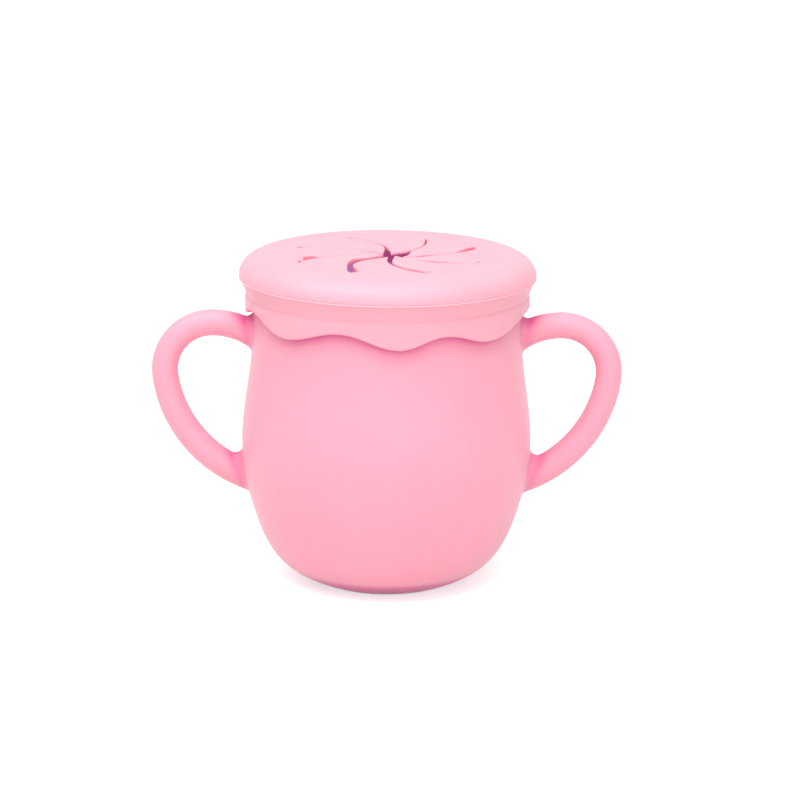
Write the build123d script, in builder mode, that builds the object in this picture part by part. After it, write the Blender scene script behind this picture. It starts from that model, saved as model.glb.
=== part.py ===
from build123d import *
import math
import os

os.makedirs("parts", exist_ok=True)

# Outside of the cup, as radii and heights above the surface it stands on
base_radius = 20.0
base_slope = 20.0
toe_radius = 31.5
toe_height = 6.5
heel_radius = 39.2
heel_height = 20.6
belly_radius = 43.1
belly_height = 43.3
shoulder_swell = 1.2
shoulder_height = 64.5
neck_radius = 39.5
neck_length = 11.6
mouth_height = 95.6

# Cup wall, the flat left on its rounded lip and the shallow hollow under the foot
wall = 2.8
lip_flat = 0.2
foot_hollow_radius = 14.0
foot_hollow_depth = 0.6
foot_hollow_slope = 1.0
wall_stations = 9

# Handles: three arcs in a line from the neck over the crown and down to the belly
crown_overhang = 12.2
crown_rise = 2.825
neck_arc_radius = 22.0
shoulder_arc_radius = 14.3
grip_arc_radius = 38.0
grip_arc_start = 8.0
handle_top_thickness = 7.85
handle_foot_thickness = 8.9
handle_root_depth = 5.0
handle_foot_depth = 8.74
handle_fillet = 2.2

# Lid: its height over the mouth, rounded rim, slanted underside, upright skirt and sealing ring
lid_crown = 3.2
rim_depth = 6.7
rim_overhang = 4.5
rim_rounding_width = 7.7
rim_lip = 0.35
band_depth = 4.6
skirt_thickness = 2.3
lid_gap = 0.3
groove_roof_gap = 0.2
plug_thickness = 2.0
plug_depth = 6.6
plug_rounding = 0.6
drip_edge_rounding = 0.5

# Drips of the skirt: angles from the front, and how far each reaches below the parting line
drip_angles = [-45.0, 5.0, 45.0, 112.0, 157.0, 206.0, 264.0]
drip_drops = [12.9, 13.4, 13.0, 12.6, 13.2, 12.3, 11.8]
crest_angles = [-70.0, -19.0, 24.0, 78.0, 134.0, 181.0, 235.0]
crest_drops = [8.4, 9.3, 10.0, 8.8, 9.4, 9.8, 8.9]

# Membrane and its eight petals
membrane_inset = 0.1
membrane_recess = 0.4
membrane_thickness = 1.8
petal_count = 8
slit_width = 0.55
slit_arc_radius = 26.5
slit_margin = 7.5
slit_end_angle = 20.0
hook_radius = 3.4
hook_turn = 66.0
petal_tip_rounding = 0.8
petal_root_bevel = 1.2
slit_relief_radius = 1.5

# Worked out from the sizes above
shoulder_radius = neck_radius + shoulder_swell
neck_height = mouth_height - neck_length
mouth_radius = neck_radius - wall
lip_rounding = (wall - lip_flat) / 2
skirt_inner_radius = neck_radius + lid_gap
skirt_radius = skirt_inner_radius + skirt_thickness
rim_radius = neck_radius + rim_overhang
plug_outer_radius = mouth_radius - lid_gap
plug_inner_radius = plug_outer_radius - plug_thickness
plug_height = mouth_height - plug_depth
groove_roof = mouth_height + groove_roof_gap
lid_top_height = mouth_height + lid_crown
parting_height = lid_top_height - rim_depth
rim_rounding_height = rim_depth - rim_lip
longest_drop = max(drip_drops)
skirt_foot = parting_height - longest_drop
membrane_top = lid_top_height - membrane_recess
membrane_bottom = membrane_top - membrane_thickness
membrane_radius = plug_inner_radius - membrane_inset
slit_reach = membrane_radius - slit_margin
hinge_height = membrane_top - membrane_thickness / 2
petal_pitch = 360 / petal_count
crown_reach = neck_radius + crown_overhang
crown_height = skirt_foot + crown_rise - handle_top_thickness / 2


def outer_line():
    """Side of the cup in its half section, from the base edge up to the neck."""
    stations = [
        (base_radius, 0),
        (toe_radius, toe_height),
        (heel_radius, heel_height),
        (belly_radius, belly_height),
        (shoulder_radius, shoulder_height),
        (neck_radius, neck_height),
    ]
    rise = math.radians(base_slope)
    return Spline(*stations, tangents=[(math.cos(rise), math.sin(rise)), (0, 1)], tangent_scalars=[1, 1])


def inner_stations(outside):
    """Points one wall thickness inside the outer line, from the floor up to the neck."""
    stations = []
    for step in range(wall_stations):
        share = step / (wall_stations - 1)
        point, along = outside @ share, outside % share
        stations.append((point.X - wall * along.Y, point.Y + wall * along.X))
    return stations


# Handles, and the cup body that they are moulded in one with
shoulder_centre = (crown_reach, crown_height - shoulder_arc_radius)
grip_shift = grip_arc_radius - shoulder_arc_radius
grip_start = math.radians(-grip_arc_start)
grip_centre = (
    shoulder_centre[0] - grip_shift * math.cos(grip_start),
    shoulder_centre[1] - grip_shift * math.sin(grip_start),
)
upper_root = neck_radius - handle_root_depth
neck_arc_turn = math.degrees(math.asin((crown_reach - upper_root) / neck_arc_radius))
long_grip = CenterArc(grip_centre, grip_arc_radius, -grip_arc_start, -120)
foot_place = long_grip.intersect(outer_line())[0]
foot_fall = math.atan2(grip_centre[1] - foot_place.Y, foot_place.X - grip_centre[0])
grip_arc_end = math.degrees(foot_fall + handle_foot_depth / grip_arc_radius)

with BuildPart() as handles:
    with BuildLine(Plane.XZ) as upper_path:
        neck_arc_centre = (crown_reach, crown_height - neck_arc_radius)
        CenterArc(neck_arc_centre, neck_arc_radius, 90 + neck_arc_turn, -neck_arc_turn)
        CenterArc(shoulder_centre, shoulder_arc_radius, 90, -90 - grip_arc_start)
    with BuildSketch(Plane(upper_path.line @ 0, x_dir=(0, 1, 0), z_dir=upper_path.line % 0)):
        Circle(handle_top_thickness / 2)
    sweep(path=upper_path.line)

    with BuildLine(Plane.XZ) as grip_path:
        CenterArc(grip_centre, grip_arc_radius, -grip_arc_start, grip_arc_start - grip_arc_end)
    for place, thickness in ((0, handle_top_thickness), (1, handle_foot_thickness)):
        with BuildSketch(Plane(grip_path.line @ place, x_dir=(0, 1, 0), z_dir=grip_path.line % place)):
            Circle(thickness / 2)
    sweep(path=grip_path.line, multisection=True)
    mirror(about=Plane.YZ)

with BuildPart() as cup_body:
    with BuildSketch(Plane.YZ):
        with BuildLine():
            side = outer_line()
            Polyline(side @ 1, (neck_radius, mouth_height), (0, mouth_height), (0, 0), side @ 0)
        make_face()
    revolve(axis=Axis.Z)
    add(handles.part)
    fillet(cup_body.edges(Select.NEW), handle_fillet)

    with BuildSketch(Plane.YZ):
        with BuildLine():
            inside = inner_stations(side)
            inner_side = Spline(*inside, tangents=[side % 0, side % 1], tangent_scalars=[1, 1])
            Polyline(
                inner_side @ 1,
                (mouth_radius, mouth_height),
                (0, mouth_height),
                (0, inside[0][1]),
                inner_side @ 0,
            )
        make_face()
        with BuildLine():
            Polyline(
                (0, 0),
                (foot_hollow_radius, 0),
                (foot_hollow_radius - foot_hollow_slope, foot_hollow_depth),
                (0, foot_hollow_depth),
                close=True,
            )
        make_face()
    revolve(axis=Axis.Z, mode=Mode.SUBTRACT)
    lip_edges = cup_body.edges().filter_by(GeomType.CIRCLE).filter_by_position(
        Axis.Z, mouth_height - 0.01, mouth_height + 0.01
    )
    fillet(lip_edges, lip_rounding)


def drip_drop(angle):
    """How far the skirt reaches below the parting line at this angle from the front, in degrees."""
    marks = sorted(zip(drip_angles + crest_angles, drip_drops + crest_drops))
    marks.append((marks[0][0] + 360, marks[0][1]))
    place = marks[0][0] + (angle - marks[0][0]) % 360
    for (low_angle, low), (high_angle, high) in zip(marks, marks[1:]):
        if place <= high_angle:
            share = (place - low_angle) / (high_angle - low_angle)
            return low + (high - low) * (1 - math.cos(math.pi * share)) / 2
    return marks[0][1]


def drip_line(radius):
    """Closed wavy line of the skirt's lower edge, at this radius."""
    marks = sorted(drip_angles + crest_angles)
    middles = [(a + b) / 2 for a, b in zip(marks, marks[1:] + [marks[0] + 360])]
    points = []
    for angle in sorted(marks + middles):
        turn = math.radians(angle - 90)
        height = parting_height - drip_drop(angle)
        points.append((radius * math.cos(turn), radius * math.sin(turn), height))
    return Edge.make_spline([Vector(*point) for point in points], periodic=True)


# Outline of one petal seen from above, on the +X side, before the slit's width is taken off
slit_half_turn = math.degrees(math.asin(slit_reach / 2 / slit_arc_radius))


def unit(angle):
    """Direction in plan at this angle from +X, in degrees."""
    return (math.cos(math.radians(angle)), math.sin(math.radians(angle)))


with BuildSketch() as petal_field:
    with BuildLine():
        slit = JernArc((0, 0), unit(-slit_half_turn), slit_arc_radius, 2 * slit_half_turn)
        hook = JernArc(slit @ 1, slit % 1, hook_radius, hook_turn)
        next_slit = JernArc((0, 0), unit(petal_pitch - slit_half_turn), slit_arc_radius, 2 * slit_half_turn)
        root_line = Line(hook @ 1, next_slit @ 1)
    make_face()

with BuildSketch() as petal_outline:
    add(petal_field.sketch)
    offset(amount=-slit_width / 2, kind=Kind.INTERSECTION)
    fillet(petal_outline.vertices().sort_by_distance((0, 0))[0], petal_tip_rounding)
    chamfer(petal_outline.vertices().sort_by_distance(next_slit @ 1)[0], petal_root_bevel)

with BuildSketch() as petal_window:
    add(petal_field.sketch)
    offset(amount=slit_width / 2)
    with Locations(hook @ 1):
        Circle(slit_relief_radius)

# Lid with its rim, skirt, sealing ring and the windows that the petals fill
with BuildPart() as lid:
    with BuildSketch(Plane.YZ):
        with BuildLine():
            rim_centre = (rim_radius - rim_rounding_width, lid_top_height - rim_rounding_height)
            rim_arc = EllipticalCenterArc(
                rim_centre, rim_rounding_width, rim_rounding_height, start_angle=0, arc_size=90
            )
            Polyline(
                rim_arc @ 0,
                (rim_radius - rim_lip, parting_height),
                (skirt_radius, parting_height - band_depth),
                (skirt_radius, skirt_foot - drip_edge_rounding),
                (skirt_inner_radius, skirt_foot - drip_edge_rounding),
                (skirt_inner_radius, groove_roof),
                (plug_outer_radius, groove_roof),
                (plug_outer_radius, plug_height),
                (plug_inner_radius, plug_height),
                (plug_inner_radius, membrane_bottom),
                (0, membrane_bottom),
                (0, membrane_top),
                (membrane_radius, membrane_top),
                (membrane_radius + membrane_recess, lid_top_height),
                rim_arc @ 1,
            )
        make_face()
    revolve(axis=Axis.Z)
    below_drips = Face.make_surface_from_curves(
        drip_line(plug_outer_radius), drip_line(rim_radius + wall)
    )
    extrude(below_drips, amount=longest_drop, dir=(0, 0, -1), mode=Mode.SUBTRACT)
    fillet(lid.edges(Select.NEW), drip_edge_rounding)
    with BuildSketch(Plane.XY.offset(membrane_bottom)):
        for petal in range(petal_count):
            add(petal_window.sketch, rotation=slit_end_angle - 90 + petal * petal_pitch)
    extrude(amount=membrane_thickness, mode=Mode.SUBTRACT)
    plug_edges = lid.edges().filter_by(GeomType.CIRCLE).filter_by_position(
        Axis.Z, plug_height - 0.01, plug_height + 0.01
    )
    fillet(plug_edges, plug_rounding)

cup_body.part.label = "cup_body"
export_step(cup_body.part, "parts/cup_body.step")
lid.part.label = "lid"
export_step(lid.part, "parts/lid.step")

# Petals, counter-clockwise from the front, each with a half-round root edge about its bending line
for petal in range(petal_count):
    heading = slit_end_angle - 90 + petal * petal_pitch
    with BuildPart() as flap:
        with BuildSketch(Plane.XY.offset(membrane_bottom).rotated((0, 0, heading))):
            add(petal_outline.sketch)
        extrude(amount=membrane_thickness)
        side_faces = flap.faces().filter_by(GeomType.PLANE).filter_by(Axis.Z, reverse=True)
        root_face = side_faces.sort_by(Face.area)[-1]
        fillet(root_face.edges().filter_by(Plane.XY), membrane_thickness / 2 - 0.02)
    flap.part.label = f"flap_{petal + 1}"
    export_step(flap.part, f"parts/flap_{petal + 1}.step")
    along = (root_line % 0).rotate(Axis.Z, heading)
    inward = Vector(-along.Y, along.X) * (slit_width / 2 + membrane_thickness / 2)
    middle = (root_line @ 0.5).rotate(Axis.Z, heading) + inward
    print(flap.part.label, "bends about", tuple(middle), "along", tuple(along), "at height", hinge_height)
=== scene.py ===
import math

import bmesh
import bpy
from bpy.props import FloatProperty, FloatVectorProperty, IntProperty, PointerProperty
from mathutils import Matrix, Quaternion, Vector


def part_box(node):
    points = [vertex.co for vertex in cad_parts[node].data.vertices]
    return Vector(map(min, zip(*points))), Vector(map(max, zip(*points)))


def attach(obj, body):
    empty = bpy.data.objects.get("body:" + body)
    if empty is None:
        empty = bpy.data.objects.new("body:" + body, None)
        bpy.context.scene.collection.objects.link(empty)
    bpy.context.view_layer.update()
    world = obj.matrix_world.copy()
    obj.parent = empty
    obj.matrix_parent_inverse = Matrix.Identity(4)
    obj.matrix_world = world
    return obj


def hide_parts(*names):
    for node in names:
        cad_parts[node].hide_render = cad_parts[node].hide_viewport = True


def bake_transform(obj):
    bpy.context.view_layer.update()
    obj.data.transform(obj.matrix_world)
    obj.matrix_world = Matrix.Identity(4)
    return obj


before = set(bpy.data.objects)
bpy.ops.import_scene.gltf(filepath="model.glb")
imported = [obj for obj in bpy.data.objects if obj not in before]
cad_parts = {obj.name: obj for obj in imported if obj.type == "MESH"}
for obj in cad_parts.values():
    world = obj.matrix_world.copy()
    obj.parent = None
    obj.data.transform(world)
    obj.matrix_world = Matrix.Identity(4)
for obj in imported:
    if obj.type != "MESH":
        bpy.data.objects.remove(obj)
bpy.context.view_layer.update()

bl_info = {
    "name": "Toddler training cup",
    "version": (1, 0, 0),
    "blender": (4, 5, 0),
    "location": "3D View > Sidebar > Cup",
    "description": "Models the soft lid and petals of a silicone snack cup and gives the cup its finish",
    "category": "Object",
}

MM = 0.001
_, LID_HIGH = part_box("lid")

# Vertices closer together than this are merged, and vertices this close to a line or plane count as on it
MERGE = 0.004 * MM
NEAR = 0.01 * MM

# Drips and the crests between them: degrees from the front towards +X, and millimetres under the parting line
DRIPS = [(-45, 12.9), (5, 13.4), (45, 13.0), (112, 12.6), (157, 13.2), (206, 12.3), (264, 11.8)]
CRESTS = [(-70, 8.4), (-19, 9.3), (24, 10.0), (78, 8.8), (134, 9.4), (181, 9.8), (235, 8.9)]
DEEPEST = MM * max(depth for angle, depth in DRIPS)
SHALLOWEST = MM * min(depth for angle, depth in CRESTS)

# How the petals have settled, in millimetres: petal, place in plan, pull to the right, back and up, and reach
PULLS = [
    (1, (0, 0), (2.0, -1.3, 0.2), 15),
    (1, (5, -17), (0.2, 0.0, 0.3), 9),
    (1, (9, -24), (0.0, 0.2, 0.4), 4),
    (2, (0, 0), (3.2, -1.0, -0.4), 16),
    (2, (15, -9), (0.0, 0.1, 0.3), 8),
    (3, (0, 0), (3.4, -1.0, -0.3), 9),
    (3, (24, 8), (0.0, 0.5, 0.7), 5),
    (4, (0, 0), (0.4, 0.7, 0.2), 7),
    (4, (10, 22), (0.0, 0.4, 0.7), 4),
    (5, (0, 0), (-1.5, 0.4, 0.1), 15),
    (6, (0, 0), (-1.0, -0.1, 0.0), 14),
    (6, (-25, -7), (0.0, 0.4, 0.8), 5),
    (7, (0, 0), (-0.3, -0.3, 0.1), 12),
    (7, (-9, -14), (-0.6, 0.3, 0.9), 9),
    (8, (0, 0), (0.5, -1.2, -0.2), 13),
    (8, (-11, -21), (2.6, 0.0, -1.2), 6),
]


class LidShape(bpy.types.PropertyGroup):
    """Sizes of the lid's rim, skirt and sealing ring."""

    top_height: FloatProperty(
        name="Top height", description="Height of the lid's top above the table",
        default=LID_HIGH.z, unit="LENGTH")
    rim_radius: FloatProperty(
        name="Rim radius", description="Widest radius of the lid, at its rounded rim",
        default=LID_HIGH.x, unit="LENGTH")
    rim_rounding: FloatProperty(
        name="Rim rounding", description="Width of the soft rounding from the flat top to the rim",
        default=0.0077, unit="LENGTH")
    parting_height: FloatProperty(
        name="Parting line height", description="Height of the mould's parting line under the rim",
        default=0.0921, unit="LENGTH")
    parting_ridge: FloatProperty(
        name="Parting ridge", description="How far the fine ridge of the parting line stands out",
        default=0.00022, unit="LENGTH")
    rounding_rise: FloatProperty(
        name="Rounding rise", description="How far above the parting line the rim's rounding starts",
        default=0.0004, unit="LENGTH")
    band_depth: FloatProperty(
        name="Slanted band", description="Height of the slanted underside of the rim",
        default=0.0046, unit="LENGTH")
    tuck: FloatProperty(
        name="Tuck", description="Depth of the soft fold between the slanted band and the skirt",
        default=0.0003, unit="LENGTH")
    tuck_height: FloatProperty(
        name="Tuck height", description="Height below the slanted band over which the fold eases out",
        default=0.0007, unit="LENGTH")
    skirt_radius: FloatProperty(
        name="Skirt radius", description="Outer radius of the dripping skirt",
        default=0.0421, unit="LENGTH")
    skirt_inner_radius: FloatProperty(
        name="Skirt inner radius", description="Inner radius of the skirt, over the cup's neck",
        default=0.0398, unit="LENGTH")
    groove_roof: FloatProperty(
        name="Groove roof", description="Height of the roof of the groove that the cup's lip goes into",
        default=0.0958, unit="LENGTH")
    plug_outer_radius: FloatProperty(
        name="Sealing ring radius", description="Outer radius of the ring that goes into the mouth",
        default=0.0364, unit="LENGTH")
    plug_inner_radius: FloatProperty(
        name="Sealing ring inside", description="Inner radius of the ring that goes into the mouth",
        default=0.0344, unit="LENGTH")
    plug_height: FloatProperty(
        name="Sealing ring foot", description="Height of the sealing ring's lower edge",
        default=0.089, unit="LENGTH")
    spin_steps: IntProperty(
        name="Steps round", description="Faces round the lid", default=264, min=64, max=512)


class PetalShape(bpy.types.PropertyGroup):
    """Sizes of the membrane and of the pinwheel slits in it."""

    count: IntProperty(
        name="Petals", description="Number of petals and of slits", default=8, min=3, max=12)
    membrane_radius: FloatProperty(
        name="Membrane radius", description="Radius of the faint crease round the membrane",
        default=0.0343, unit="LENGTH")
    recess: FloatProperty(
        name="Membrane recess", description="How far the membrane lies below the lid's top",
        default=0.0004, unit="LENGTH")
    slope: FloatProperty(
        name="Crease slope", description="Width of the soft slope from the membrane up to the rim",
        default=0.0014, unit="LENGTH")
    thickness: FloatProperty(
        name="Membrane thickness", description="Thickness of the membrane and its petals",
        default=0.0018, unit="LENGTH")
    tip_rounding: FloatProperty(
        name="Tip rounding", description="How much of a petal's sharp tip is rounded away",
        default=0.0011, unit="LENGTH")
    tip_share: FloatProperty(
        name="Tip thickness", description="Thickness left at a petal's tip, as a share of the membrane's",
        default=0.4, subtype="FACTOR", min=0.1, max=1)
    arc_radius: FloatProperty(
        name="Slit curve radius", description="Radius of each slit's curve, seen from above",
        default=0.0265, unit="LENGTH")
    reach: FloatProperty(
        name="Slit reach", description="Distance of a slit's outer end from the middle",
        default=0.0268, unit="LENGTH")
    hook_inner_radius: FloatProperty(
        name="Hook inner radius", description="Radius of the petal's side of the hook at a slit's end",
        default=0.0023, unit="LENGTH")
    hook_outer_radius: FloatProperty(
        name="Hook outer radius", description="Radius of the lid's side of the hook",
        default=0.0040, unit="LENGTH")
    hook_turn: FloatProperty(
        name="Hook turn", description="How far the petal's side of the hook turns back",
        default=math.radians(66), subtype="ANGLE")
    hook_outer_turn: FloatProperty(
        name="Outer hook turn", description="How far the lid's side of the hook turns back",
        default=math.radians(50), subtype="ANGLE")
    first_end: FloatProperty(
        name="First slit", description="Direction of the first slit's end, from +X",
        default=math.radians(-70), subtype="ANGLE")
    gap: FloatProperty(
        name="Slit width", description="Width of the cut between two petals",
        default=0.00042, unit="LENGTH")
    soft_edge: FloatProperty(
        name="Soft edge", description="Rounding of the petals' upper edges",
        default=0.00055, unit="LENGTH")
    bend_length: FloatProperty(
        name="Bend length", description="Width of the strip at the root in which a petal bends",
        default=0.0042, unit="LENGTH")


class SiliconeFinish(bpy.types.PropertyGroup):
    """Colour and skin of the moulded silicone, with painted shade in creases and slits, a painted highlight
    on the parting line, a lid lightened for the light from above and a painted glow inside the cup.
    """

    cup_colour: FloatVectorProperty(
        name="Cup colour", description="Pigment of the cup and its handles",
        default=(0.94, 0.375, 0.48), subtype="COLOR", size=3, min=0, max=1)
    # Partly painted light: the cup's pink made a little lighter for the lid, for the light from the lamp
    # above on the lid's top
    lid_colour_top_lit: FloatVectorProperty(
        name="Lid colour with top light", description="Pigment of the lid and its petals",
        default=(0.94, 0.41, 0.495), subtype="COLOR", size=3, min=0, max=1)
    # Painted shade: the colour that the cup's creases are darkened towards where ambient occlusion finds
    # surfaces close by
    crease_shade_colour: FloatVectorProperty(
        name="Crease shade colour", description="Pigment in narrow creases, where light passes through it many times",
        default=(0.74, 0.11, 0.33), subtype="COLOR", size=3, min=0, max=1)
    # Painted shade: the colour that the lid's slits and folds are darkened towards where ambient occlusion
    # finds surfaces close by
    slit_shade_colour: FloatVectorProperty(
        name="Slit shade colour", description="Pigment in the lid's slits and folds, thinner than the cup's wall",
        default=(0.93, 0.30, 0.41), subtype="COLOR", size=3, min=0, max=1)
    # Painted highlight: a lighter colour on the parting line's fine ridge, for the light that the ridge
    # catches
    parting_highlight_colour: FloatVectorProperty(
        name="Parting highlight colour", description="Paler pigment on the fine ridge of the parting line",
        default=(1.0, 0.72, 0.78), subtype="COLOR", size=3, min=0, max=1)
    # Reach of the painted crease shade
    crease_shade_reach: FloatProperty(
        name="Crease shade reach", description="How far the deep colour reaches out of a crease",
        default=0.006, unit="LENGTH")
    # Painted glow: an emission colour on the cup's inner wall, for the cool shade inside the closed cup
    painted_inside_glow: FloatVectorProperty(
        name="Painted inside glow", description="Cool light that comes through the soft wall into the closed cup",
        default=(0.13, 0.12, 0.29), subtype="COLOR", size=3, min=0, max=1)
    roughness: FloatProperty(
        name="Roughness", description="Dullness of the satin moulded skin",
        default=0.44, subtype="FACTOR", min=0, max=1)
    grain: FloatProperty(
        name="Grain", description="Strength of the fine mould texture",
        default=0.1, subtype="FACTOR", min=0, max=1)


class StudioSetup(bpy.types.PropertyGroup):
    """Floor, lights and camera."""

    floor_colour: FloatVectorProperty(
        name="Floor colour", description="Colour of the floor and backdrop",
        default=(0.74, 0.74, 0.735), subtype="COLOR", size=3, min=0, max=1)
    floor_glow: FloatProperty(
        name="Floor glow", description="Light added to the floor where the camera sees it, to make it white",
        default=0.62, min=0, max=1)
    floor_size: FloatProperty(
        name="Floor size", description="Length and width of the floor",
        default=6, unit="LENGTH", min=1, max=20)
    backdrop_height: FloatProperty(
        name="Backdrop height", description="Height of the backdrop behind the floor",
        default=3, unit="LENGTH", min=1, max=10)
    backdrop_curve: FloatProperty(
        name="Backdrop curve", description="Size of the soft bend between floor and backdrop",
        default=1.2, unit="LENGTH", min=0.1, max=3)
    sky_strength: FloatProperty(
        name="Sky strength", description="Strength of the even light from all round",
        default=0.56, min=0, max=4)
    lamp_power: FloatProperty(
        name="Lamp power", description="Power of the large lamp above the cup",
        default=10.5, unit="POWER", min=0, max=200)
    camera_distance: FloatProperty(
        name="Camera distance", description="Distance of the camera from the middle of the cup",
        default=1.0, unit="LENGTH", min=0.2, max=5)
    camera_elevation: FloatProperty(
        name="Camera elevation", description="Height of the view above the horizon",
        default=math.radians(14.22), subtype="ANGLE")
    camera_roll: FloatProperty(
        name="Camera roll", description="Slight tilt of the picture",
        default=math.radians(0.49), subtype="ANGLE")
    camera_lens: FloatProperty(
        name="Camera lens", description="Focal length in millimetres",
        default=150.7, min=20, max=400)
    camera_aim: FloatProperty(
        name="Camera aim", description="Height on the cup's axis at which the camera points",
        default=0.0455, unit="LENGTH")
    shift_right: FloatProperty(
        name="Shift right", description="Sideways shift of the lens, as a share of the picture's width",
        default=0.017, min=-0.2, max=0.2)
    shift_up: FloatProperty(
        name="Shift up", description="Upward shift of the lens, as a share of the picture's width",
        default=0.036, min=-0.2, max=0.2)


def fresh_piece(name, primitive, **sizes):
    """Adds a primitive with nothing else selected, names it and opens it in edit mode, all selected."""
    if bpy.context.object and bpy.context.object.mode != "OBJECT":
        bpy.ops.object.mode_set(mode="OBJECT")
    bpy.ops.object.select_all(action="DESELECT")
    primitive(**sizes)
    piece = bpy.context.object
    piece.name = piece.data.name = name
    bpy.ops.object.mode_set(mode="EDIT")
    bpy.ops.mesh.select_mode(type="VERT")
    return piece


def point_piece(name, place):
    """A piece that is one selected vertex at this place, to draw a line from."""
    piece = fresh_piece(name, bpy.ops.mesh.primitive_plane_add, size=MM)
    bpy.ops.mesh.merge(type="CENTER")
    bpy.ops.transform.translate(value=place)
    return piece


def draw_on(*places):
    """Extrudes the selected vertex from its place through the places that follow."""
    for here, there in zip(places, places[1:]):
        move = Vector(there) - Vector(here)
        bpy.ops.mesh.extrude_vertices_move(TRANSFORM_OT_translate={"value": move})


def draw_arc(centre, turn, steps, axis=(0, 0, 1)):
    """Spins the selected vertex round a centre by this turn, counter-clockwise."""
    bpy.ops.mesh.spin(steps=steps, angle=-turn, center=centre, axis=axis)


def merge_all():
    """In edit mode, selects everything and merges vertices that lie together."""
    bpy.ops.mesh.select_all(action="SELECT")
    bpy.ops.mesh.remove_doubles(threshold=MERGE)


def thicken(depth):
    """In edit mode, extrudes the whole flat piece down by this depth and turns its faces outwards."""
    bpy.ops.mesh.select_all(action="SELECT")
    bpy.ops.mesh.extrude_region_move(TRANSFORM_OT_translate={"value": (0, 0, -depth)})
    bpy.ops.mesh.select_all(action="SELECT")
    bpy.ops.mesh.normals_make_consistent(inside=False)


def make_active(piece):
    """Selects this piece alone and makes it the active object."""
    bpy.ops.object.select_all(action="DESELECT")
    piece.select_set(True)
    bpy.context.view_layer.objects.active = piece


def choose(test, kind="VERT"):
    """In edit mode, selects just the vertices, edges or faces that pass the test, and counts them."""
    mesh = bpy.context.edit_object.data
    bpy.ops.mesh.select_mode(type=kind)
    bpy.ops.mesh.select_all(action="DESELECT")
    shape = bmesh.from_edit_mesh(mesh)
    parts = {"VERT": shape.verts, "EDGE": shape.edges, "FACE": shape.faces}[kind]
    chosen = [part for part in parts if test(part)]
    for part in chosen:
        part.select_set(True)
    shape.select_flush_mode()
    bmesh.update_edit_mesh(mesh)
    return len(chosen)


def radius_of(place):
    """Distance of a place from the cup's axis."""
    return math.hypot(place.x, place.y)


def on_ring(edge, radius, height):
    """True for an edge that runs round the axis at this radius and height."""
    return all(
        max(abs(radius_of(v.co) - radius), abs(v.co.z - height)) < 2 * NEAR for v in edge.verts
    )


def finish_piece(piece, smooth_angle=38):
    """Closes the piece, turns its faces outwards, smooths it and leaves it at the origin."""
    bpy.ops.mesh.select_mode(type="VERT")
    merge_all()
    bpy.ops.mesh.normals_make_consistent(inside=False)
    bpy.ops.object.mode_set(mode="OBJECT")
    bpy.ops.object.shade_smooth_by_angle(angle=math.radians(smooth_angle))
    bpy.ops.object.transform_apply(location=True, rotation=True, scale=True)
    return piece


def apply_modifier(piece, kind, **settings):
    """Adds a modifier with these settings and applies it."""
    modifier = piece.modifiers.new(kind.title(), kind)
    for name, value in settings.items():
        setattr(modifier, name, value)
    make_active(piece)
    bpy.ops.object.modifier_apply(modifier=modifier.name)


def flat(radius, angle, centre=(0, 0)):
    """A place in plan, at this distance and direction from a centre, as x and y."""
    return (centre[0] + radius * math.cos(angle), centre[1] + radius * math.sin(angle))


class PetalPlan:
    """Where the curves of one slit and petal lie, in plan, with the slit's end on +X before it is turned."""

    def __init__(self, petal):
        self.pitch = math.tau / petal.count
        self.half_turn = math.asin(petal.reach / 2 / petal.arc_radius)
        self.half_gap = petal.gap / 2
        self.slit_centre = flat(petal.arc_radius, math.pi / 2 - self.half_turn)
        self.next_centre = flat(petal.arc_radius, math.pi / 2 - self.half_turn + self.pitch)
        self.end_angle = self.half_turn - math.pi / 2
        inward = self.half_turn + math.pi / 2
        slit_end = (petal.reach, 0)
        self.inner_centre = flat(petal.hook_inner_radius + self.half_gap, inward, slit_end)
        self.outer_centre = flat(petal.hook_outer_radius - self.half_gap, inward, slit_end)
        self.root_near = flat(
            petal.hook_inner_radius, self.end_angle + petal.hook_turn, self.inner_centre)
        self.outer_end = flat(
            petal.hook_outer_radius, self.end_angle + petal.hook_outer_turn, self.outer_centre)
        self.cap_centre = tuple((a + b) / 2 for a, b in zip(self.root_near, self.outer_end))
        self.root_far = flat(
            petal.arc_radius + self.half_gap, self.end_angle + self.pitch, self.next_centre)
        self.tip = self.find_tip(petal)

    def root(self, heading, height):
        """Both ends of a petal's root, turned to its place, and the direction from one to the other."""
        far, near = turned(self.root_far, heading, height), turned(self.root_near, heading, height)
        return far, near, (near - far).normalized()

    def find_tip(self, petal):
        """Where the petal's two long edges meet near the middle of the lid."""
        (ax, ay), (bx, by) = self.slit_centre, self.next_centre
        near, far = petal.arc_radius - self.half_gap, petal.arc_radius + self.half_gap
        apart = math.hypot(bx - ax, by - ay)
        along = (near ** 2 - far ** 2 + apart ** 2) / (2 * apart)
        side = math.sqrt(near ** 2 - along ** 2)
        dx, dy = (bx - ax) / apart, (by - ay) / apart
        meets = [
            (ax + along * dx + sign * side * dy, ay + along * dy - sign * side * dx) for sign in (1, -1)
        ]
        return min(meets, key=lambda place: math.hypot(*place))


def turned(place, angle, height):
    """A place in plan turned about the axis and lifted to a height."""
    x, y = place
    cosine, sine = math.cos(angle), math.sin(angle)
    return Vector((x * cosine - y * sine, x * sine + y * cosine, height))


def polar_angle(place, centre):
    """Direction of a place from a centre, in plan."""
    return math.atan2(place[1] - centre[1], place[0] - centre[0])


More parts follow.
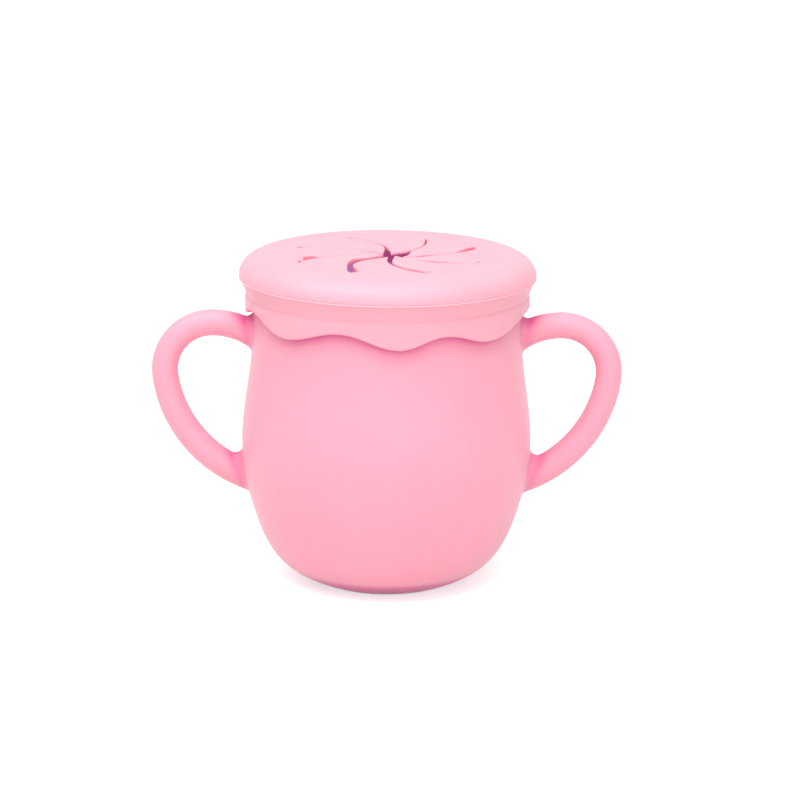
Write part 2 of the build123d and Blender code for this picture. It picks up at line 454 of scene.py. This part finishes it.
def drip_depth(angle):
    """Depth of the skirt's edge below the parting line at an angle from the front, in metres."""
    marks = sorted(DRIPS + CRESTS)
    marks.append((marks[0][0] + 360, marks[0][1]))
    place = marks[0][0] + (angle - marks[0][0]) % 360
    for (low_angle, low), (high_angle, high) in zip(marks, marks[1:]):
        if place <= high_angle:
            share = (place - low_angle) / (high_angle - low_angle)
            return MM * (low + (high - low) * (1 - math.cos(math.pi * share)) / 2)
    return MM * marks[0][1]


def draw_slit_line(plan, petal, heading, height):
    """Draws the hole's edge for one petal: its root, the hook's round end and the hook's outer side."""
    far, near, _ = plan.root(heading, height)
    draw_on(far, near)
    draw_arc(turned(plan.cap_centre, heading, height), -math.pi, 8)
    draw_arc(turned(plan.outer_centre, heading, height), -petal.hook_outer_turn, 12)


class MESH_OT_cup_lid(bpy.types.Operator):
    """Models the lid: rounded rim, parting line, dripping skirt, sealing ring and slit membrane"""

    bl_idname = "mesh.cup_lid"
    bl_label = "Add the lid"

    def execute(self, context):
        lid, petal = context.scene.cup_lid_shape, context.scene.cup_petal_shape
        piece = self.spin_profile(lid, petal)
        self.round_edges(lid, petal)
        finish_piece(piece)
        self.hang_drips(piece, lid)
        self.cut_membrane(piece, lid, petal)
        piece.data.materials.clear()
        piece.data.materials.append(lid_silicone(context.scene))
        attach(piece, "lid")
        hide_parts("lid")
        return {"FINISHED"}

    def spin_profile(self, lid, petal):
        """Draws the lid's half section, in the plane of +X, and spins it round the axis."""
        rounding_height = lid.top_height - lid.parting_height - lid.rounding_rise
        flat_edge = lid.rim_radius - lid.rim_rounding
        membrane_top = lid.top_height - petal.recess
        membrane_bottom = membrane_top - petal.thickness
        bottom = lid.parting_height - DEEPEST
        crease = lid.parting_height - lid.band_depth
        start = (lid.rim_radius, 0, lid.parting_height + lid.rounding_rise)
        ridge_foot = lid.rim_radius - 0.25 * MM
        ridge_edge = ridge_foot + lid.parting_ridge
        ridge_half = 0.1 * MM
        piece = point_piece("lid_shell", (flat_edge + rounding_height, 0, start[2]))
        draw_arc((flat_edge, 0, start[2]), math.radians(90), 18, axis=(0, -1, 0))
        choose(lambda v: True)
        bpy.ops.transform.resize(
            value=(lid.rim_rounding / rounding_height, 1, 1), center_override=(flat_edge, 0, 0))
        top_end = max(bmesh.from_edit_mesh(piece.data).verts, key=lambda v: v.co.z).co.copy()
        choose(lambda v: (v.co - top_end).length < NEAR)
        # The section ends here, inside the hole that the petals fill
        inner = 12 * MM
        draw_on(
            top_end,
            (petal.membrane_radius + petal.slope, 0, lid.top_height),
            (petal.membrane_radius, 0, membrane_top),
            (inner, 0, membrane_top),
            (inner, 0, membrane_bottom),
            (lid.plug_inner_radius, 0, membrane_bottom),
            (lid.plug_inner_radius, 0, lid.plug_height),
            (lid.plug_outer_radius, 0, lid.plug_height),
            (lid.plug_outer_radius, 0, lid.groove_roof),
            (lid.skirt_inner_radius, 0, lid.groove_roof),
            (lid.skirt_inner_radius, 0, bottom),
            (lid.skirt_radius, 0, bottom),
            (lid.skirt_radius, 0, crease - lid.tuck_height),
            (lid.skirt_radius - lid.tuck, 0, crease),
            (ridge_foot - 0.17 * MM, 0, lid.parting_height - 1.8 * ridge_half),
            (ridge_edge, 0, lid.parting_height - ridge_half),
            (ridge_edge, 0, lid.parting_height + ridge_half),
            (ridge_foot + 0.05 * MM, 0, lid.parting_height + 2 * ridge_half),
            start,
        )
        merge_all()
        bpy.ops.mesh.select_all(action="SELECT")
        bpy.ops.mesh.spin(steps=lid.spin_steps, angle=math.tau, center=(0, 0, 0), axis=(0, 0, 1))
        merge_all()
        bpy.ops.mesh.normals_make_consistent(inside=False)
        return piece

    def round_edges(self, lid, petal):
        """Rounds the moulded corners, each ring of edges with its own radius."""
        membrane_top = lid.top_height - petal.recess
        bottom = lid.parting_height - DEEPEST
        crease = lid.parting_height - lid.band_depth
        # Each ring's radius and height, the size of its rounding in millimetres and its steps
        corners = [
            (lid.skirt_radius, bottom, 0.9, 5),
            (lid.skirt_inner_radius, bottom, 0.8, 4),
            (lid.skirt_radius, crease - lid.tuck_height, 0.5, 4),
            (lid.skirt_radius - lid.tuck, crease, 0.5, 4),
            (lid.plug_outer_radius, lid.plug_height, 0.8, 4),
            (lid.plug_inner_radius, lid.plug_height, 0.8, 4),
            (petal.membrane_radius, membrane_top, 0.8, 4),
            (petal.membrane_radius + petal.slope, lid.top_height, 0.5, 4),
        ]
        for radius, height, size, steps in corners:
            if not choose(lambda e: on_ring(e, radius, height), "EDGE"):
                raise RuntimeError(f"the lid has no edge at radius {radius:.4f}, height {height:.4f}")
            bpy.ops.mesh.bevel(offset=size * MM, segments=steps, affect="EDGES", clamp_overlap=False)

    def hang_drips(self, piece, lid):
        """Draws the skirt's lower edge up between the drips, by painted weights and a displacement."""
        rounded_edge = 1.1 * MM
        edge_top = lid.parting_height - DEEPEST + rounded_edge
        weights = piece.vertex_groups.new(name="drawn_up")
        for vertex in piece.data.vertices:
            if vertex.co.z < edge_top and radius_of(vertex.co) > lid.plug_outer_radius + MM:
                angle = math.degrees(math.atan2(vertex.co.x, -vertex.co.y))
                share = (DEEPEST - drip_depth(angle)) / (DEEPEST - SHALLOWEST)
                weights.add([vertex.index], share, "REPLACE")
        apply_modifier(
            piece, "DISPLACE", direction="Z", strength=DEEPEST - SHALLOWEST, mid_level=0,
            vertex_group="drawn_up")
        piece.vertex_groups.clear()

    def cut_membrane(self, piece, lid, petal):
        """Cuts the pinwheel hole that the petals fill, and softens its hooks."""
        plan = PetalPlan(petal)
        above, below = lid.top_height + MM, lid.top_height - 4 * MM
        heading = petal.first_end
        cutter = point_piece("slit_cutter", turned(plan.root_far, heading, above))
        for step in range(petal.count):
            draw_slit_line(plan, petal, heading - step * plan.pitch, above)
        merge_all()
        bpy.ops.mesh.edge_face_add()
        thicken(above - below)
        bpy.ops.object.mode_set(mode="OBJECT")
        apply_modifier(piece, "BOOLEAN", operation="DIFFERENCE", solver="EXACT", object=cutter)
        bpy.data.objects.remove(cutter)
        make_active(piece)
        bpy.ops.object.mode_set(mode="EDIT")
        membrane_top = lid.top_height - petal.recess
        hooks = choose(lambda e: self.on_hook(e, plan, petal, membrane_top), "EDGE")
        fewest_on_one = 16
        if hooks < petal.count * fewest_on_one:
            raise RuntimeError(f"the membrane has only {hooks} edges along its hooks")
        rounding = petal.soft_edge * 0.8
        bpy.ops.mesh.bevel(offset=rounding, segments=3, affect="EDGES", clamp_overlap=True)
        finish_piece(piece)

    def on_hook(self, edge, plan, petal, height):
        """True for a top edge of the hole that follows a hook or its round end."""
        if any(abs(v.co.z - height) > NEAR for v in edge.verts) or len(edge.link_faces) != 2:
            return False
        if all(abs(face.normal.z) > 0.9 for face in edge.link_faces):
            return False
        middle = (edge.verts[0].co + edge.verts[1].co) / 2
        for step in range(petal.count):
            heading = petal.first_end + step * plan.pitch
            far, near, along = plan.root(heading, height)
            way = (middle - far).dot(along)
            offset = (middle - far) - along * way
            if offset.length < 3 * NEAR and 0 < way < (near - far).length:
                return False
        return radius_of(middle) < petal.membrane_radius - MM


class MESH_OT_cup_petals(bpy.types.Operator):
    """Models one petal of the membrane and copies it round, each with its own settled tip"""

    bl_idname = "mesh.cup_petals"
    bl_label = "Add the petals"

    def execute(self, context):
        lid, petal = context.scene.cup_lid_shape, context.scene.cup_petal_shape
        plan = PetalPlan(petal)
        first = self.first_petal(lid, petal, plan)
        finish = lid_silicone(context.scene)
        for step in range(petal.count):
            piece = first if step == petal.count - 1 else self.copy_of(first)
            piece.name = piece.data.name = f"petal_{step + 1}"
            heading = petal.first_end + step * plan.pitch
            self.turn(piece, heading)
            self.settle(piece, step + 1, plan, heading)
            bpy.ops.object.shade_smooth_by_angle(angle=math.radians(42))
            piece.data.materials.clear()
            piece.data.materials.append(finish)
            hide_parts(f"flap_{step + 1}")
            start, end = self.bend(lid, petal, plan, heading)
            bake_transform(piece)
        return {"FINISHED"}

    def bend(self, lid, petal, plan, heading):
        """Where a petal starts to bend, in the middle of its root, and where it has turned fully."""
        far, near, along = plan.root(heading, lid.top_height)
        inward = Vector((-along.y, along.x, 0))
        middle = (far + near) / 2
        if inward.dot(middle) > 0:
            inward = -inward
        return middle, middle + inward * petal.bend_length

    def first_petal(self, lid, petal, plan):
        """Draws one petal's outline, gives it thickness and soft edges, and cuts it into a fine grid."""
        top = lid.top_height - petal.recess
        tip_angle = polar_angle(plan.tip, plan.slit_centre)
        tip_back = polar_angle(plan.tip, plan.next_centre)
        tip = turned(plan.tip, 0, top)
        far, near, back = plan.root(0, top)
        edge_steps, hook_steps = 26, 10
        piece = point_piece("petal", tip)
        draw_arc(turned(plan.slit_centre, 0, top), plan.end_angle - tip_angle, edge_steps)
        draw_arc(turned(plan.inner_centre, 0, top), petal.hook_turn, hook_steps)
        draw_on(near, far)
        draw_arc(turned(plan.next_centre, 0, top), tip_back - plan.end_angle - plan.pitch, edge_steps)
        merge_all()
        bpy.ops.mesh.edge_face_add()
        choose(lambda v: (v.co - tip).length < NEAR)
        bpy.ops.mesh.bevel(
            offset=petal.tip_rounding, segments=4, affect="VERTICES", clamp_overlap=False)
        thicken(petal.thickness)
        along = -back
        across = Vector((-along.y, along.x, 0))

        def rim_edge(edge, height):
            """True for an outline edge at this height that isn't part of the root."""
            if any(abs(v.co.z - height) > NEAR for v in edge.verts):
                return False
            return not all(abs((v.co - near).dot(across)) < NEAR for v in edge.verts)

        choose(lambda e: rim_edge(e, top), "EDGE")
        bpy.ops.mesh.bevel(offset=petal.soft_edge, segments=4, affect="EDGES", clamp_overlap=True)
        choose(lambda e: rim_edge(e, top - petal.thickness), "EDGE")
        bpy.ops.mesh.bevel(offset=petal.soft_edge * 0.6, segments=2, affect="EDGES", clamp_overlap=True)
        inward = across if across.dot(-near) > 0 else -across
        # Close cuts across the strip that bends, wider ones from there to the tip, and some lengthwise
        close_cuts, close_pitch, wide_cuts, wide_pitch = 9, 0.5 * MM, 10, 2.2 * MM
        for step in range(1, close_cuts + wide_cuts + 1):
            depth = min(step, close_cuts) * close_pitch + max(step - close_cuts, 0) * wide_pitch
            bpy.ops.mesh.select_all(action="SELECT")
            bpy.ops.mesh.bisect(plane_co=near + inward * depth, plane_no=inward)
        long_cuts, long_pitch = 9, 2.1 * MM
        for step in range(1, long_cuts + 1):
            bpy.ops.mesh.select_all(action="SELECT")
            bpy.ops.mesh.bisect(plane_co=near + along * step * long_pitch, plane_no=along)
        tip_size, thinned_length = 2 * MM, petal.reach * 0.8
        choose(lambda v: (v.co.xy - tip.xy).length < tip_size)
        bpy.ops.transform.resize(
            value=(1, 1, petal.tip_share), center_override=tip, use_proportional_edit=True,
            proportional_edit_falloff="SMOOTH", proportional_size=thinned_length)
        finish_piece(piece, 42)
        return piece

    def copy_of(self, first):
        """Another petal with its own mesh."""
        make_active(first)
        bpy.ops.object.duplicate(linked=False)
        return bpy.context.object

    def turn(self, piece, heading):
        """Turns a petal to its place round the lid and leaves its object unturned."""
        make_active(piece)
        piece.rotation_euler = (0, 0, heading)
        bpy.ops.object.transform_apply(location=True, rotation=True, scale=True)

    def settle(self, piece, number, plan, heading):
        """Pulls the petal a little aside where the cut silicone has relaxed, with its root held."""
        held, patch = 0.6 * MM, 1.2 * MM
        far, _, along = plan.root(heading, 0)
        across = Vector((-along.y, along.x, 0))
        bpy.ops.object.mode_set(mode="EDIT")
        for pulled, place, move, reach in PULLS:
            if pulled != number:
                continue
            choose(lambda v: abs((v.co - far).dot(across)) < held)
            bpy.ops.mesh.hide(unselected=False)
            target = Vector((place[0] * MM, place[1] * MM))
            shape = bmesh.from_edit_mesh(piece.data)
            nearest = min((v.co.xy - target).length for v in shape.verts if not v.hide)
            choose(lambda v: not v.hide and (v.co.xy - target).length < nearest + patch)
            bpy.ops.transform.translate(
                value=[part * MM for part in move], use_proportional_edit=True,
                proportional_edit_falloff="SMOOTH", proportional_size=reach * MM)
            bpy.ops.mesh.reveal(select=False)
        bpy.ops.object.mode_set(mode="OBJECT")


def math_node(nodes, links, operation, first, second):
    """The result of a Math node on two values, each a node's output or a number."""
    node = nodes.new("ShaderNodeMath")
    node.operation = operation
    for socket, value in zip(node.inputs, (first, second)):
        if isinstance(value, (int, float)):
            socket.default_value = value
        else:
            links.new(value, socket)
    return node.outputs["Value"]


def map_range(nodes, links, value, start=0, end=1, low=0, high=1):
    """A value mapped from the span start to end onto the span low to high."""
    node = nodes.new("ShaderNodeMapRange")
    for name, number in (("From Min", start), ("From Max", end), ("To Min", low), ("To Max", high)):
        node.inputs[name].default_value = number
    links.new(value, node.inputs["Value"])
    return node.outputs["Result"]


def mix_colours(nodes, links, factor, first, second):
    """A colour between two, each a node's output or a plain colour."""
    node = nodes.new("ShaderNodeMix")
    node.data_type = "RGBA"
    links.new(factor, node.inputs["Factor"])
    for name, colour in (("A", first), ("B", second)):
        if isinstance(colour, tuple):
            node.inputs[name].default_value = colour
        else:
            links.new(colour, node.inputs[name])
    return node.outputs["Result"]


def noise(nodes, links, place, scale, detail):
    """Noise over a place in the piece's own coordinates."""
    node = nodes.new("ShaderNodeTexNoise")
    node.inputs["Scale"].default_value = scale
    node.inputs["Detail"].default_value = detail
    links.new(place, node.inputs["Vector"])
    return node.outputs["Fac"]


def own_place(nodes, links):
    """Height and distance from the cup's axis, in the piece's own coordinates."""
    split = nodes.new("ShaderNodeSeparateXYZ")
    links.new(nodes.new("ShaderNodeTexCoord").outputs["Object"], split.inputs["Vector"])
    level = nodes.new("ShaderNodeCombineXYZ")
    links.new(split.outputs["X"], level.inputs["X"])
    links.new(split.outputs["Y"], level.inputs["Y"])
    distance = nodes.new("ShaderNodeVectorMath")
    distance.operation = "LENGTH"
    links.new(level.outputs["Vector"], distance.inputs[0])
    return split.outputs["Z"], distance.outputs["Value"]


def silicone_skin_and_crease_shade():
    """Node group of the moulded skin: random tone, painted shade that darkens the pigment in creases, satin
    patches and fine grain.
    """
    made = bpy.data.node_groups.get("silicone_skin_and_crease_shade")
    if made:
        return made
    group = bpy.data.node_groups.new("silicone_skin_and_crease_shade", "ShaderNodeTree")
    for name, side, kind in (
        ("Pigment", "INPUT", "Color"),
        ("Painted crease shade", "INPUT", "Color"),
        ("Crease shade reach", "INPUT", "Float"),
        ("Roughness", "INPUT", "Float"),
        ("Grain", "INPUT", "Float"),
        ("Color", "OUTPUT", "Color"),
        ("Roughness", "OUTPUT", "Float"),
        ("Normal", "OUTPUT", "Vector"),
    ):
        group.interface.new_socket(name, in_out=side, socket_type=f"NodeSocket{kind}")
    nodes, links = group.nodes, group.links
    inputs, outputs = nodes.new("NodeGroupInput").outputs, nodes.new("NodeGroupOutput").inputs
    place = nodes.new("ShaderNodeTexCoord").outputs["Object"]

    clouds = noise(nodes, links, place, scale=38, detail=3)
    shade = nodes.new("ShaderNodeHueSaturation")
    links.new(map_range(nodes, links, clouds, low=0.965, high=1.035), shade.inputs["Saturation"])
    links.new(inputs["Pigment"], shade.inputs["Color"])
    # Painted shade: the pigment is mixed towards the crease shade colour where ambient occlusion finds
    # surfaces close by
    nearby = nodes.new("ShaderNodeAmbientOcclusion")
    nearby.samples = 8
    links.new(inputs["Crease shade reach"], nearby.inputs["Distance"])
    crease = map_range(nodes, links, nearby.outputs["AO"], start=0.97, end=0.55)
    crease_shaded = mix_colours(nodes, links, crease, shade.outputs["Color"], inputs["Painted crease shade"])
    links.new(crease_shaded, outputs["Color"])

    patches = noise(nodes, links, place, scale=160, detail=4)
    satin = map_range(nodes, links, patches, low=-0.05, high=0.05)
    links.new(math_node(nodes, links, "ADD", inputs["Roughness"], satin), outputs["Roughness"])

    bump = nodes.new("ShaderNodeBump")
    bump.inputs["Distance"].default_value = 0.04 * MM
    links.new(inputs["Grain"], bump.inputs["Strength"])
    links.new(noise(nodes, links, place, scale=2600, detail=2), bump.inputs["Height"])
    links.new(bump.outputs["Normal"], outputs["Normal"])
    return group


def silicone(name, pigment, shade_in_creases, finish):
    """Starts a silicone material: soft translucent rubber with the moulded skin and painted crease shade on
    it.
    """
    material = bpy.data.materials.new(name)
    material.use_nodes = True
    nodes, links = material.node_tree.nodes, material.node_tree.links
    shader = nodes["Principled BSDF"]
    shader.inputs["Subsurface Weight"].default_value = 0.25
    shader.inputs["Subsurface Radius"].default_value = (1.0, 0.22, 0.32)
    shader.inputs["Subsurface Scale"].default_value = 2 * MM
    shader.inputs["IOR"].default_value = 1.41
    shader.inputs["Sheen Weight"].default_value = 0.2
    shader.inputs["Sheen Roughness"].default_value = 0.5
    shader.inputs["Sheen Tint"].default_value = (1.0, 0.86, 0.9, 1.0)
    skin = nodes.new("ShaderNodeGroup")
    skin.node_tree = silicone_skin_and_crease_shade()
    skin.inputs["Pigment"].default_value = (*pigment, 1)
    skin.inputs["Painted crease shade"].default_value = (*shade_in_creases, 1)
    skin.inputs["Crease shade reach"].default_value = finish.crease_shade_reach
    skin.inputs["Roughness"].default_value = finish.roughness
    skin.inputs["Grain"].default_value = finish.grain
    links.new(skin.outputs["Color"], shader.inputs["Base Color"])
    links.new(skin.outputs["Roughness"], shader.inputs["Roughness"])
    links.new(skin.outputs["Normal"], shader.inputs["Normal"])
    return material, nodes, links, shader, skin


def lid_silicone(scene):
    """Material of the lid and its petals, with painted shade in the slits and a painted highlight along the
    parting line.
    """
    made = bpy.data.materials.get("lid_silicone_finish")
    if made:
        return made
    finish, lid = scene.cup_silicone_finish, scene.cup_lid_shape
    material, nodes, links, shader, skin = silicone(
        "lid_silicone_finish", finish.lid_colour_top_lit, finish.slit_shade_colour, finish)
    height, distance = own_place(nodes, links)
    # Painted highlight: a thin band at the parting line, on the rim's outside, is mixed towards the parting
    # highlight colour
    line, solid_half, fading_half = lid.parting_height, 0.1 * MM, 0.2 * MM
    from_below = map_range(nodes, links, height, start=line - fading_half, end=line - solid_half)
    from_above = map_range(nodes, links, height, start=line + fading_half, end=line + solid_half)
    level = math_node(nodes, links, "MULTIPLY", from_below, from_above)
    outside = math_node(nodes, links, "GREATER_THAN", distance, lid.rim_radius - 0.6 * MM)
    parting_highlight_mask = math_node(nodes, links, "MULTIPLY", level, outside)
    painted_highlight = (*finish.parting_highlight_colour, 1)
    links.new(
        mix_colours(nodes, links, parting_highlight_mask, skin.outputs["Color"], painted_highlight), shader.inputs["Base Color"])
    return material


def cup_silicone(scene):
    """Material of the cup and handles, with painted shade in creases and a painted violet glow on the inner
    wall where the lid shuts it in.
    """
    finish = scene.cup_silicone_finish
    material, nodes, links, shader, _ = silicone(
        "cup_silicone_finish", finish.cup_colour, finish.crease_shade_colour, finish)

    # The inner wall is nearer the axis than the neck's outside, and faces the middle of the cup
    middle_height, neck_outside, facing_limit = 45 * MM, 40.5 * MM, -4 * MM
    place = nodes.new("ShaderNodeTexCoord")
    centred = nodes.new("ShaderNodeMapping")
    centred.inputs["Location"].default_value = (0, 0, -middle_height)
    links.new(place.outputs["Object"], centred.inputs["Vector"])
    facing = nodes.new("ShaderNodeVectorMath")
    facing.operation = "DOT_PRODUCT"
    links.new(centred.outputs["Vector"], facing.inputs[0])
    links.new(place.outputs["Normal"], facing.inputs[1])
    inwards = math_node(nodes, links, "LESS_THAN", facing.outputs["Value"], facing_limit)
    _, distance = own_place(nodes, links)
    within = math_node(nodes, links, "LESS_THAN", distance, neck_outside)
    inside = math_node(nodes, links, "MULTIPLY", inwards, within)

    # Painted glow: the emission fades in as ambient occlusion finds the inner wall shut in by the lid
    open_air = nodes.new("ShaderNodeAmbientOcclusion")
    open_air.samples = 16
    open_air.inputs["Distance"].default_value = 120 * MM
    shut_in = map_range(nodes, links, open_air.outputs["AO"], start=0.12, end=0.03)
    share = math_node(nodes, links, "MULTIPLY", inside, shut_in)
    glow = mix_colours(nodes, links, share, (0, 0, 0, 1), (*finish.painted_inside_glow, 1))
    links.new(glow, shader.inputs["Emission Color"])
    shader.inputs["Emission Strength"].default_value = 1
    return material


class MESH_OT_cup_body_finish(bpy.types.Operator):
    """Gives the cup and its handles their silicone finish, with painted crease shade and a painted glow
    inside
    """

    bl_idname = "mesh.cup_body_finish"
    bl_label = "Finish the cup"

    def execute(self, context):
        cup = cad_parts["cup_body"]
        cup.data.materials.clear()
        cup.data.materials.append(cup_silicone(context.scene))
        return {"FINISHED"}


def seen_directly(nodes, links):
    """A value of 1 for rays from the camera, or from a mirror or glass, and 0 for the others."""
    rays = nodes.new("ShaderNodeLightPath").outputs
    seen = math_node(nodes, links, "MAXIMUM", rays["Is Camera Ray"], rays["Is Glossy Ray"])
    return math_node(nodes, links, "MAXIMUM", seen, rays["Is Transmission Ray"])


class SCENE_OT_cup_stage(bpy.types.Operator):
    """Sets up the pale floor and backdrop, soft studio light and the camera"""

    bl_idname = "scene.cup_stage"
    bl_label = "Set up the stage"

    def execute(self, context):
        setup = context.scene.cup_studio_setup
        self.floor(setup)
        self.lights(context.scene, setup)
        self.camera(context.scene, setup)
        context.scene.view_settings.view_transform = "Standard"
        return {"FINISHED"}

    def floor(self, setup):
        """A wide floor that rises softly into a backdrop."""
        piece = fresh_piece("floor", bpy.ops.mesh.primitive_plane_add, size=setup.floor_size)
        near_back = setup.floor_size * 0.48
        choose(lambda e: all(v.co.y > near_back for v in e.verts), "EDGE")
        bpy.ops.mesh.extrude_region_move(TRANSFORM_OT_translate={"value": (0, 0, setup.backdrop_height)})
        choose(lambda e: all(v.co.y > near_back and v.co.z < NEAR for v in e.verts), "EDGE")
        bpy.ops.mesh.bevel(offset=setup.backdrop_curve, segments=16, affect="EDGES")
        finish_piece(piece, 60)
        material = bpy.data.materials.new("floor_finish")
        material.use_nodes = True
        nodes, links = material.node_tree.nodes, material.node_tree.links
        shader = nodes["Principled BSDF"]
        shader.inputs["Base Color"].default_value = (*setup.floor_colour, 1)
        shader.inputs["Roughness"].default_value = 0.9
        shader.inputs["Specular IOR Level"].default_value = 0.1
        glow = nodes.new("ShaderNodeEmission")
        glow.inputs["Color"].default_value = (1, 1, 0.985, 1)
        strength = math_node(nodes, links, "MULTIPLY", seen_directly(nodes, links), setup.floor_glow)
        links.new(strength, glow.inputs["Strength"])
        add = nodes.new("ShaderNodeAddShader")
        links.new(shader.outputs["BSDF"], add.inputs[0])
        links.new(glow.outputs["Emission"], add.inputs[1])
        links.new(add.outputs["Shader"], nodes["Material Output"].inputs["Surface"])
        piece.data.materials.append(material)

    def lights(self, scene, setup):
        """Even light from all round, a large soft lamp above and a weaker one in front."""
        world = bpy.data.worlds.new("studio_air")
        world.use_nodes = True
        background = world.node_tree.nodes["Background"]
        background.inputs["Color"].default_value = (1, 1, 1, 1)
        nodes, links = world.node_tree.nodes, world.node_tree.links
        white_if_seen = map_range(nodes, links, seen_directly(nodes, links), low=setup.sky_strength)
        links.new(white_if_seen, background.inputs["Strength"])
        scene.world = world
        for name, place, size, power in (
            ("top_lamp", (-0.14, -0.36, 0.95), (1.1, 0.9), setup.lamp_power),
            ("front_lamp", (0.3, -1.1, 0.46), (0.9, 0.7), setup.lamp_power * 0.3),
        ):
            lamp = bpy.data.lights.new(name, "AREA")
            lamp.shape = "RECTANGLE"
            lamp.size, lamp.size_y = size
            lamp.energy = power
            holder = bpy.data.objects.new(name, lamp)
            holder.location = place
            aim = Vector((0, 0, 50 * MM)) - holder.location
            holder.rotation_euler = aim.to_track_quat("-Z", "Y").to_euler()
            scene.collection.objects.link(holder)

    def camera(self, scene, setup):
        """A long lens at the photograph's height, a little off centre and very slightly tilted."""
        camera = bpy.data.objects.new("camera", bpy.data.cameras.new("camera"))
        scene.collection.objects.link(camera)
        aim = Vector((0, 0, setup.camera_aim))
        rise = setup.camera_elevation
        back = Vector((0, -math.cos(rise), math.sin(rise)))
        camera.location = aim + back * setup.camera_distance
        camera.rotation_mode = "QUATERNION"
        look = (-back).to_track_quat("-Z", "Y")
        camera.rotation_quaternion = look @ Quaternion((0, 0, 1), setup.camera_roll)
        camera.data.lens = setup.camera_lens
        camera.data.sensor_width = 36
        camera.data.shift_x, camera.data.shift_y = setup.shift_right, setup.shift_up
        camera.data.clip_start, camera.data.clip_end = 0.05, 20
        scene.camera = camera


class VIEW3D_PT_cup(bpy.types.Panel):
    """Buttons for the cup's pieces, in the order in which they are made"""

    bl_label = "Training cup"
    bl_idname = "VIEW3D_PT_cup"
    bl_space_type = "VIEW_3D"
    bl_region_type = "UI"
    bl_category = "Cup"

    def draw(self, context):
        for operator in OPERATORS:
            self.layout.operator(operator.bl_idname)


SETTINGS = {
    "cup_lid_shape": LidShape,
    "cup_petal_shape": PetalShape,
    "cup_silicone_finish": SiliconeFinish,
    "cup_studio_setup": StudioSetup,
}
OPERATORS = (MESH_OT_cup_body_finish, MESH_OT_cup_lid, MESH_OT_cup_petals, SCENE_OT_cup_stage)


def register():
    for kind in (*SETTINGS.values(), *OPERATORS, VIEW3D_PT_cup):
        bpy.utils.register_class(kind)
    for name, kind in SETTINGS.items():
        setattr(bpy.types.Scene, name, PointerProperty(type=kind))


def unregister():
    for name in SETTINGS:
        delattr(bpy.types.Scene, name)
    for kind in (VIEW3D_PT_cup, *reversed(OPERATORS), *reversed(list(SETTINGS.values()))):
        bpy.utils.unregister_class(kind)


def make_cup():
    """Registers the add-on's classes and makes every piece in order."""
    register()
    bpy.ops.mesh.cup_body_finish()
    bpy.ops.mesh.cup_lid()
    bpy.ops.mesh.cup_petals()
    bpy.ops.scene.cup_stage()


if __name__ == "__main__":
    make_cup()
